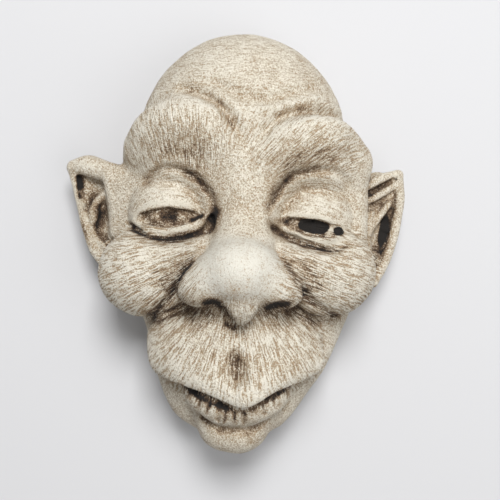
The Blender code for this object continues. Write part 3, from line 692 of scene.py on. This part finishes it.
# Where the brown wash was put on, with shade and highlights painted among it, seen from the front: points
# (across, up), half width, strength.
WASH_AND_PAINTED_LIGHT = [
    # the left eye: its opening, iris, two corners, the pit beside the nose, the grooves below and above,
    # darkened partly as painted shade
    ([(-38, 9.4), (-32, 9.8), (-26, 9.8), (-19, 9.8), (-12, 10.4)], 2.8, 0.35),
    ([(-30, 9.6), (-26.1, 9.8), (-22.2, 9.6)], 2.8, 0.9),
    ([(-37.6, 9.2), (-35.8, 9.0), (-34.0, 8.8)], 2.0, 0.25),
    ([(-18.5, 7.8), (-15.5, 9.2), (-12.5, 10.6)], 0.8, 1.4),
    ([(-9.2, 14), (-9.2, 10), (-9.8, 6), (-12, 3.5)], 1.9, 1.0),
    ([(-43, 9), (-40, 5.6), (-36.2, 3.3), (-27.6, 1.2), (-19, 2.4), (-12.6, 5)], 0.8, 0.7),
    ([(-24, 27), (-16.3, 24.6), (-11, 19.6), (-7.8, 13), (-7.4, 6)], 2.4, 0.5),
    ([(-33, 29), (-26, 32), (-19, 31), (-11.5, 25), (-7, 17)], 4.0, 0.4),
    # the right eye, its pupil hole darkened as painted shade
    ([(13, 8.2), (18, 7.6), (24, 6.6), (30, 5.6), (37, 4.4)], 2.4, 0.15),
    ([(21.5, 7.2), (27.5, 6.2), (33.5, 4.8)], 2.0, 1.9),
    ([(34.8, 4.8), (36.9, 4.2), (39, 3.6)], 1.2, 1.9),
    ([(12, 8.4), (15.5, 7.9), (20, 7.2)], 1.2, 0.4),
    ([(10, 8.5), (12.9, 4.8), (21.5, 0.9), (27.2, -1.4), (34.7, -3.2), (42, -0.1)], 0.8, 0.6),
    ([(9.5, 9), (11.5, 14.5), (15, 20.3), (19.5, 24.6)], 2.0, 0.4),
    ([(9, 12), (12, 20), (18, 27.5), (28, 30.5), (37, 28)], 3.6, 0.4),
    # the nostrils, the septum and the folds beside the nose, with painted shade inside the nostrils, under
    # the wings, on the septum's left side, under its tip and under the nose
    ([(-13.5, -21.6), (-9.3, -20.6), (-5.4, -22)], 1.8, 1.7),
    ([(8.6, -23.6), (13.5, -21.6), (19.2, -22)], 1.9, 1.5),
    ([(-5.5, -28.5), (-3, -29.8), (-0.3, -31)], 1.4, 1.2),
    ([(-6, -22), (-3.5, -25), (-0.5, -28)], 1.4, 0.8),
    ([(-20.5, -16.5), (-18, -20.5), (-13, -20.5)], 1.4, 0.5),
    ([(-6, -17), (1, -19.5), (8, -17)], 4.0, 0.25),
    ([(18, -21), (21.5, -19), (23, -16)], 1.4, 0.4),
    ([(-22, -22), (-16, -25), (-9, -26), (-4, -27)], 1.9, 0.25),
    ([(6, -28), (10, -26.5), (16, -26), (23, -23)], 1.9, 0.3),
    ([(-15.5, -6.5), (-18.8, -10.5), (-21.4, -14.5)], 0.8, 0.9),
    ([(-22, -15), (-25, -19), (-31, -24), (-39, -29)], 1.4, 0.45),
    ([(15, -7), (19, -13), (23, -18)], 1.0, 0.45),
    ([(22, -18), (27, -22.5), (33, -26), (40, -28)], 1.3, 0.6),
    ([(-19, -8), (-26, -16), (-34, -23)], 4.5, 0.2),
    ([(17, -5), (24, -13), (32, -20)], 5.0, 0.25),
    # the mouth and chin, with the upper lip's shadow on the lower lip and the shade under its edge painted
    # in
    ([(-1.2, -36.5), (-1.4, -43), (-0.8, -50)], 3.1, 0.75),
    ([(-14, -36), (-11, -38.5), (-8, -37.5)], 2.2, 0.3),
    ([(-21, -53.5), (-16, -55), (-10, -57.5), (-3, -60.5)], 1.5, 0.45),
    ([(across, up - 1.8) for across, out, up in UPPER_LIP], 1.2, 0.75),
    ([(-16.5, -54.8), (-12.5, -56.4), (-8.4, -58.6)], 1.3, 0.6),
    ([(-22.5, -50.4), (-20.8, -51.5), (-19.2, -52.6)], 0.9, 0.8),
    ([(-10.2, -57.4), (-11.2, -59.8), (-12.2, -62.4)], 0.8, 0.9),
    ([(-4.9, -59), (-5.1, -62), (-5.4, -65.6)], 0.7, 1.1),
    ([(-1.6, -60), (-1.6, -63), (-1.5, -66)], 0.6, 1.1),
    ([(2.4, -60.6), (2.6, -62.4), (2.9, -64.4)], 0.6, 0.6),
    ([(-15.2, -56), (-16, -58), (-16.6, -60)], 0.7, 0.5),
    ([(7.2, -58.8), (13.1, -55.9), (20, -50.7)], 0.8, 0.4),
    ([(-17.8, -59), (-13.3, -64.3), (-8.2, -67.6), (-1.6, -68.4), (5, -68), (13.4, -62.8)], 0.8, 0.15),
    ([(-14, -67), (-8, -70), (-1, -71), (6, -70.5), (11, -67)], 1.6, 0.25),
    ([(2, -73), (5, -73.8), (8, -73)], 1.2, 0.4),
    # the ears, darkened in their folds and holes partly as painted shade
    ([(-65, 27.5), (-64.2, 25), (-63.6, 21)], 1.5, 1.1),
    ([(-64.5, 24), (-63.4, 12), (-61, 3), (-57.5, -3)], 0.9, 0.9),
    ([(-61, 25), (-59.5, 18), (-57.5, 11), (-55, 3)], 3.2, 0.5),
    ([(-57, 9.5), (-56.5, 4.5), (-52.5, 1)], 1.5, 0.4),
    ([(57, 11), (57.8, 6.5), (57, 1.5), (54.5, -4)], 1.6, 1.8),
    ([(51, 15.5), (54.5, 15.5), (57, 16.5)], 1.4, 0.4),
    ([(48.5, 19.5), (52, 20.6)], 1.6, 0.5),
    ([(60, 20), (60.5, 10), (58.5, -1), (54, -10)], 2.6, 0.25),
    # the frown, and painted shade on the undersides of the brows
    ([(-17, 57.4), (-9, 58.2), (-3, 55.4), (3, 52.6), (9.4, 51.7), (19, 55), (30, 59)], 2.2, 0.1),
    ([(-22, 57), (-11, 52.5), (-6.5, 49), (-3.7, 45), (-1, 41), (2, 36.5), (4, 31)], 2.2, 0.1),
    ([(42, 49), (33.5, 49.8), (24, 48.6), (15.5, 46.2), (9.8, 41), (6, 34)], 3.0, -0.25),
    ([(-37, 34), (-30, 39), (-22, 40), (-14, 37), (-8, 29)], 6.5, 0.4),
    ([(12, 25), (18, 31), (26, 34), (35, 33), (42, 27)], 6.0, 0.35),
    # painted highlights, below zero: lid rims, lids, brow tops, ridges and above the lip's edge
    ([(-39, 6.5), (-35, 4.9), (-29.5, 3.9), (-21.7, 4.9), (-14, 8)], 1.2, -0.9),
    ([(-39, 11.8), (-33.2, 14.4), (-25.8, 15), (-18.4, 14.2), (-12, 12)], 0.9, -0.9),
    ([(14.5, 6), (17, 4.9), (21.4, 2.6), (27, 1), (33.6, 0.3), (40, 1.8)], 1.1, -0.9),
    ([(12.8, 9.6), (18.4, 10.6), (26.9, 9.6), (32.5, 8), (38, 5.6)], 0.9, -0.9),
    ([(32.3, 2.6), (33.4, 4.8), (34.6, 4.2)], 0.7, -1.0),
    ([(-34, 18), (-27, 20.5), (-19, 19)], 4.5, -0.35),
    ([(22, 15), (29, 15.5), (36, 12)], 4.5, -0.35),
    ([(-38, 38), (-29, 50.5), (-21.8, 53), (-12.6, 50.5), (-5, 43)], 3.6, -0.35),
    ([(9, 36), (16.7, 42), (24.4, 45), (34, 46), (43, 40)], 3.0, -0.35),
    ([(4, 48.6), (10, 48.4), (17, 50.2), (26, 53.3), (34, 55.5)], 1.5, -0.3),
    ([(across, up + 3) for across, out, up in UPPER_LIP], 2.8, -0.35),
]


def read_shade_and_wash(mesh, skin):
    """Stores how deep each point lies in crevices, hollows and edges, and how much wash it has. The depth
    in crevices and hollows darkens as painted shade as well as wash, and the lines put on by brush carry
    painted shade and highlights too.
    """
    points, normals = to_drawn(read_points(mesh)), normals_of(mesh)
    out, web = points[:, 1], Web(mesh)

    def smooth(values):
        for _ in range(SMOOTHED):
            values = (1 - EVENING_SHARE) * values + EVENING_SHARE * web.mean(values)
        return values

    # Ambient occlusion: how shut in each point is, laid on as painted shade.
    def ambient_shade(reach):
        return smooth(np.clip(1 - skin(points + reach * normals) / reach, 0, 1))

    off_wall = rising(out, *WASH_OUT)
    narrow, wide = HOLLOW_REACHES
    store(mesh, "crevice_wash_and_shade", ambient_shade(CREVICE_REACH) * off_wall)
    store(mesh, "hollow_wash_and_shade", (0.5 * ambient_shade(narrow) + 0.5 * ambient_shade(wide)) * off_wall)
    inwards = skin(points - EDGE_REACH * normals)
    store(mesh, "edge", smooth(np.clip(1 + inwards / EDGE_REACH, 0, 1)))
    wrinkles = [(line, half_width, WRINKLE_WASH * amount) for line, half_width, amount in lip_wrinkles()]
    # These lines carry wash, painted shade under overhangs and in holes, and painted highlights on raised
    # parts.
    wash_and_painted_light = read_map(drawn_map([*WASH_AND_PAINTED_LIGHT, *wrinkles]), points)
    front = rising(out, *WASH_AND_PAINTED_LIGHT_OUT) * np.clip(1 + FACING * normals[:, 1], 0, 1)
    store(mesh, "wash_and_painted_light", wash_and_painted_light * front)
    store(mesh, "front", front)


def cast_face():
    skin = Skin()
    mesh = with_modifier(solid_copy(), "REMESH", mode="VOXEL", voxel_size=GRAIN * DRAWN)
    settle(mesh, skin, SETTLE_COUNT)
    ratio = CAST_TRIANGLES / (2 * len(mesh.polygons))
    mesh = with_modifier(mesh, "DECIMATE", ratio=min(ratio, 1.0))
    roughen(mesh)
    read_shade_and_wash(mesh, skin)
    mesh.name = "stone_face_cast"
    mesh.shade_smooth()
    face = bpy.data.objects.new("stone_face_cast", mesh)
    bpy.context.scene.collection.objects.link(face)
    return face


# The stone


class Value:
    """A socket whose arithmetic adds Math nodes."""

    def __init__(self, finish, socket):
        self.finish = finish
        self.socket = socket

    def __add__(self, other):
        return self.finish.math("ADD", self, other)

    def __sub__(self, other):
        return self.finish.math("SUBTRACT", self, other)

    def __rsub__(self, other):
        return self.finish.math("SUBTRACT", other, self)

    def __mul__(self, other):
        return self.finish.math("MULTIPLY", self, other)

    def __truediv__(self, other):
        return self.finish.math("DIVIDE", self, other)

    __radd__ = __add__
    __rmul__ = __mul__


class Finish:
    """A material that is built up from nodes."""

    def __init__(self, name):
        self.material = bpy.data.materials.new(name)
        self.material.use_nodes = True
        self.nodes = self.material.node_tree.nodes
        self.links = self.material.node_tree.links
        self.shader = self.nodes["Principled BSDF"]

    def node(self, kind, inputs, output=0, **settings):
        """Adds a node: its settings first, then the values or links of its sockets."""
        made = self.nodes.new(kind)
        for name, value in settings.items():
            setattr(made, name, value)
        for key, value in inputs.items():
            self.feed(made.inputs[key], value)
        return Value(self, made.outputs[output])

    def feed(self, socket, value):
        if isinstance(value, Value):
            self.links.new(value.socket, socket)
        else:
            socket.default_value = value

    def math(self, operation, *values):
        return self.node("ShaderNodeMath", dict(enumerate(values)), operation=operation)

    def step(self, value, low, high):
        """0 below low and 1 above high, smooth between."""
        ends = {0: value, 1: low, 2: high, 3: 0.0, 4: 1.0}
        return self.node("ShaderNodeMapRange", ends, interpolation_type="SMOOTHSTEP")

    def mix(self, share, first, second):
        colours = {0: share, 6: first, 7: second}
        return self.node("ShaderNodeMix", colours, output=2, data_type="RGBA")

    def attribute(self, name):
        return self.node("ShaderNodeAttribute", {}, output=2, attribute_name=name)

    def noise(self, place, scale, detail, rough):
        inputs = {"Vector": place, "Scale": scale, "Detail": detail, "Roughness": rough}
        return self.node("ShaderNodeTexNoise", inputs)

    def vector(self, x, y, z):
        return self.node("ShaderNodeCombineXYZ", {0: x, 1: y, 2: z})


# Where the comb went: the middle and half size of each patch, seen from the front, the point that the
# strokes fan out from, whether they run round that point instead, and how deep they are.
COMBED = {
    "left brow": ((-24, 43), (27, 19), (-14, -25), False, 0.85),
    "right brow": ((26, 38), (25, 18), (-16, 2), False, 0.85),
    "left lid": ((-25, 18), (17, 11), (-25, 0), True, 0.5),
    "right lid": ((27, 16), (17, 11), (27, -4), True, 0.5),
    "left cheek": ((-35, -11), (23, 19), (-2, 2), False, 1.3),
    "right cheek": ((34, -11), (22, 19), (-60, 24), False, 1.3),
    "muzzle": ((-1, -40), (37, 22), (0, -8), False, 1.0),
    "forehead": ((1, 70), (44, 22), (-260, 66), False, 0.35),
}
# The deepest holes, painted black inside as shade, seen from the front: middle, half size, turn in degrees,
# strength.
PAINTED_SHADE_PITS = {
    "right pupil": ((27.6, 6.1), (5.0, 2.3), -9, 2.5),
    "outer corner": ((36.8, 4.3), (1.6, 1.4), 0, 2.0),
    "right ear": ((57.0, 4.5), (1.5, 5.6), -14, 1.2),
}
PATCH_EDGE = (0.7, 1.2)  # a combed patch fades between these, where 1 is on its oval
PIT_EDGE = (0.5, 1.6)
COMBED_OUT = (4.0, 10.0)  # strokes come in between these distances from the wall
STROKE_LENGTH = 10.0  # a stroke is this many times longer than it is wide
STROKE_SWAY = 1.2
NOSE_MIDDLE, NOSE_HALF, NOSE_EDGE = (0.5, -9), (19, 13), (0.4, 1.2)  # the nose's pale, smoother tip

# Noise: how many spots to a drawn millimetre, their detail and their roughness.
LINES_NOISE = (2.2, 1.5, 0.5)
SWAY_NOISE = (0.15, 1.0, 0.55)
BLOTCH_NOISE = (0.07, 3.0, 0.55)
CLOUD_NOISE = (0.28, 4.0, 0.65)
GRAIN_NOISE = (1.5, 3.0, 0.7)
FINE_NOISE = (3.4, 1.0, 0.5)

# How much wash each cause leaves or takes away, what the speckle is made of, and how much the nose has.
# Hollows, crevices, brush strokes and black holes add painted shade with the wash, and wiped strokes and
# edges take some off as painted highlight.
WASH_BASE, HOLLOW_WASH_AND_SHADE, CREVICE_WASH_AND_SHADE, WASH_AND_PAINTED_LIGHT_SHARE = 0.12, 0.95, 0.5, 0.85
CLOUD_WASH, BLOTCH_WASH, EDGE_WIPED, NOSE_WIPED = 0.9, 0.6, 0.35, 0.15
GRAIN_SPECKLE, FINE_SPECKLE, COMB_SPECKLE, NOSE_SPECKLE = 4.2, 2.6, 4.2, 0.65

PALE = (0.86, 0.81, 0.70, 1)
CREAM = (0.70, 0.64, 0.52, 1)
TAN = (0.40, 0.29, 0.18, 1)
UMBER = (0.11, 0.064, 0.034, 1)
# the black of the painted shade in the deepest holes and darkest hollows
SHADE_BLACK = (0.012, 0.009, 0.007, 1)
CHALK = (0.66, 0.645, 0.58, 1)
PALE_TONE = (-0.6, 0.3)
CHALK_SHARE = 0.7
# The wash's colours, whose darker ones come in where painted shade adds to the wash: how much speckle and
# wash bring each one in, and between which sums.
WASH_COLOURS = [(TAN, 1.0, 1.0, 0.0, 0.8), (UMBER, 0.5, 1.3, 0.8, 1.5), (SHADE_BLACK, 0.35, 1.4, 1.5, 2.1)]
# Edges rubbed back to cream, partly a painted highlight: what wash and speckle take off, between which
# sums, and the most of it.
RUBBED_WASH, RUBBED_SPECKLE, RUBBED_EDGE, RUBBED_MOST = 0.6, 0.2, (0.15, 0.65), 0.6
BUMP_DEEP = 0.7  # drawn millimetres
BUMP_STRENGTH = 0.9


def near_oval(across, up, middle, half):
    """0 in the middle of an oval patch and 1 on its edge."""
    side, rise = (across - middle[0]) / half[0], (up - middle[1]) / half[1]
    return side * side + rise * rise


def strokes(finish, across, out, up, place):
    """The comb's strokes over the whole face: a height from -0.5 to 0.5, none where it wasn't combed."""
    height = None
    for middle, half, pole, round_pole, depth in COMBED.values():
        side, rise = across - pole[0], up - pole[1]
        away = finish.math("SQRT", side * side + rise * rise)
        angle = finish.math("ARCTAN2", side, rise)
        typical = math.hypot(middle[0] - pole[0], middle[1] - pole[1])
        if round_pole:
            over, along = away, angle * typical
        else:
            over, along = angle * typical, away
        over = over + STROKE_SWAY * finish.noise(place, *SWAY_NOISE)
        stretched = finish.vector(over, along / STROKE_LENGTH, out / STROKE_LENGTH)
        lines = finish.noise(stretched, *LINES_NOISE)
        mask = 1 - finish.step(near_oval(across, up, middle, half), *PATCH_EDGE)
        added = (lines - 0.5) * depth * mask
        height = added if height is None else height * (1 - mask) + added
    return height


def painted_pit_shade(finish, across, up):
    """How deep each place lies in one of the holes painted black as shade."""
    depth = 0
    for middle, half, turn, strength in PAINTED_SHADE_PITS.values():
        side, rise = across - middle[0], up - middle[1]
        cos, sin = math.cos(math.radians(turn)), math.sin(math.radians(turn))
        along = (side * cos + rise * sin) / half[0]
        over = (rise * cos - side * sin) / half[1]
        depth = depth + strength * (1 - finish.step(along * along + over * over, *PIT_EDGE))
    return depth


def cream_stone():
    finish = Finish("washed_cream_stone")
    where = finish.node("ShaderNodeTexCoord", {}, output=3)
    to_form = (1 / DRAWN, -1 / DRAWN, 1 / DRAWN)
    place = finish.node("ShaderNodeVectorMath", {0: where, 1: to_form}, operation="MULTIPLY")
    across, out, up = (finish.node("ShaderNodeSeparateXYZ", {0: place}, output=index) for index in range(3))
    stored = ("crevice_wash_and_shade", "hollow_wash_and_shade", "wash_and_painted_light", "edge", "front")
    crevice_wash_and_shade, hollow_wash_and_shade, wash_and_painted_light, edge, front = (finish.attribute(name) for name in stored)

    combed = strokes(finish, across, out, up, place) * finish.step(out, *COMBED_OUT)
    blotch = finish.noise(place, *BLOTCH_NOISE)
    cloud = finish.noise(place, *CLOUD_NOISE)
    grain = finish.noise(place, *GRAIN_NOISE)
    fine = finish.noise(place, *FINE_NOISE)
    nose = (1 - finish.step(near_oval(across, up, NOSE_MIDDLE, NOSE_HALF), *NOSE_EDGE)) * front

    # The brown wash with painted shade in it: the depth in hollows and crevices, the brush strokes under
    # overhangs and the black holes stand in for shade, and below zero the wiped strokes are painted
    # highlights.
    wash = (
        WASH_BASE
        + HOLLOW_WASH_AND_SHADE * hollow_wash_and_shade
        + CREVICE_WASH_AND_SHADE * crevice_wash_and_shade
        + WASH_AND_PAINTED_LIGHT_SHARE * wash_and_painted_light
        + painted_pit_shade(finish, across, up) * front
        + CLOUD_WASH * (cloud - 0.5)
        + BLOTCH_WASH * (blotch - 0.5)
        - EDGE_WIPED * edge
        - NOSE_WIPED * nose
    )
    speckle = GRAIN_SPECKLE * (grain - 0.5) + FINE_SPECKLE * (fine - 0.5) + COMB_SPECKLE * combed
    speckle = speckle * (1 - (1 - NOSE_SPECKLE) * nose)

    body = finish.mix(finish.step(wash + speckle, *PALE_TONE), PALE, CREAM)
    body = finish.mix(nose * CHALK_SHARE, body, CHALK)
    for colour, from_speckle, from_wash, low, high in WASH_COLOURS:
        body = finish.mix(finish.step(from_speckle * speckle + from_wash * wash, low, high), body, colour)
    # Edges rubbed back to cream, partly a painted highlight on them.
    rubbed_and_highlit = edge - RUBBED_WASH * wash - RUBBED_SPECKLE * speckle
    body = finish.mix(finish.step(rubbed_and_highlit, *RUBBED_EDGE) * RUBBED_MOST, body, CREAM)

    relief = 0.5 - 0.4 * speckle
    bump = {"Height": relief, "Distance": BUMP_DEEP * DRAWN, "Strength": BUMP_STRENGTH}
    finish.feed(finish.shader.inputs["Base Color"], body)
    finish.feed(finish.shader.inputs["Roughness"], 0.82 + 0.12 * grain - 0.08 * edge)
    finish.feed(finish.shader.inputs["Normal"], finish.node("ShaderNodeBump", bump))
    return finish.material


# The stage: wall, lights and camera

PHOTO_WIDTH = 500.0  # pixels
PHOTO_FOCAL = 859.0  # the photograph's focal length, in its pixels
CAMERA_AWAY = 360.0  # drawn millimetres from the wall
CAMERA_ACROSS = 3.9
CAMERA_UP = -2.7
SENSOR = 36.0
WALL_SPAN = 4.0  # metres
WALL_GAP = 0.0004  # behind the face's back
WALL_GREY = (0.55, 0.55, 0.56, 1)
OPENING_SIDES = 72
# The lights: place and size in metres, and watts.
LIGHTS = {"key": ((0.07, -0.93, 0.43), 0.35, 11.5), "fill": ((0.50, -0.85, -0.30), 0.8, 3.2)}
SKY = 0.3


def camera():
    data = bpy.data.cameras.new("camera")
    data.sensor_width = SENSOR
    data.lens = SENSOR * PHOTO_FOCAL / PHOTO_WIDTH
    obj = bpy.data.objects.new("camera", data)
    obj.location = (CAMERA_ACROSS * DRAWN, -CAMERA_AWAY * DRAWN, CAMERA_UP * DRAWN)
    obj.rotation_euler = (math.pi / 2, 0, 0)
    bpy.context.scene.collection.objects.link(obj)
    bpy.context.scene.camera = obj


def softbox(name, place, size, watts):
    data = bpy.data.lights.new(name, "AREA")
    data.size = size
    data.energy = watts
    obj = bpy.data.objects.new(name, data)
    obj.location = place
    obj.rotation_mode = "QUATERNION"
    obj.rotation_quaternion = Vector(place).to_track_quat("Z", "Y")
    bpy.context.scene.collection.objects.link(obj)


def wall(face):
    """A pale wall right behind the face, seen only from the front and open along the face's back."""
    points = to_drawn(read_points(face.data))
    points = points[points[:, 1] < BACK_KEPT]
    turns = np.arctan2(points[:, 2], points[:, 0])
    made = bmesh.new()
    bmesh.ops.create_circle(made, cap_ends=False, segments=OPENING_SIDES, radius=1.0)
    bmesh.ops.extrude_edge_only(made, edges=made.edges[:])
    for vert in made.verts[:OPENING_SIDES]:
        turn = math.atan2(vert.co.y, vert.co.x)
        near = np.cos(turns - turn) > math.cos(2 * math.pi / OPENING_SIDES)
        vert.co *= np.hypot(points[near, 0], points[near, 2]).max() * DRAWN
    for vert in made.verts[OPENING_SIDES:]:
        vert.co *= WALL_SPAN / 2
    bmesh.ops.recalc_face_normals(made, faces=made.faces)
    lie = Matrix.Translation((0, WALL_GAP, 0)) @ Matrix.Rotation(math.pi / 2, 4, "X")
    bmesh.ops.transform(made, matrix=lie, verts=made.verts)
    made.normal_update()
    if made.faces[:][0].normal.y > 0:
        bmesh.ops.reverse_faces(made, faces=made.faces)
    mesh = bpy.data.meshes.new("wall")
    made.to_mesh(mesh)
    made.free()
    obj = bpy.data.objects.new("wall", mesh)
    bpy.context.scene.collection.objects.link(obj)
    finish = Finish("pale_wall")
    finish.shader.inputs["Base Color"].default_value = WALL_GREY
    finish.shader.inputs["Roughness"].default_value = 0.9
    clear = finish.node("ShaderNodeBsdfTransparent", {})
    behind = finish.node("ShaderNodeNewGeometry", {}, output=6)
    plain = Value(finish, finish.shader.outputs[0])
    seen = finish.node("ShaderNodeMixShader", {0: behind, 1: plain, 2: clear})
    finish.feed(finish.nodes["Material Output"].inputs["Surface"], seen)
    mesh.materials.append(finish.material)


def light():
    for name, (place, size, watts) in LIGHTS.items():
        softbox(name, place, size, watts)
    world = bpy.data.worlds.new("studio")
    world.use_nodes = True
    background = world.node_tree.nodes["Background"]
    background.inputs["Color"].default_value = (1, 1, 1, 1)
    background.inputs["Strength"].default_value = SKY
    bpy.context.scene.world = world
    bpy.context.scene.view_settings.view_transform = "Standard"


camera()
light()
face = cast_face()
wall(face)
face.data.materials.clear()
face.data.materials.append(cream_stone())
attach(face, "root")
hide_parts("stone_face")
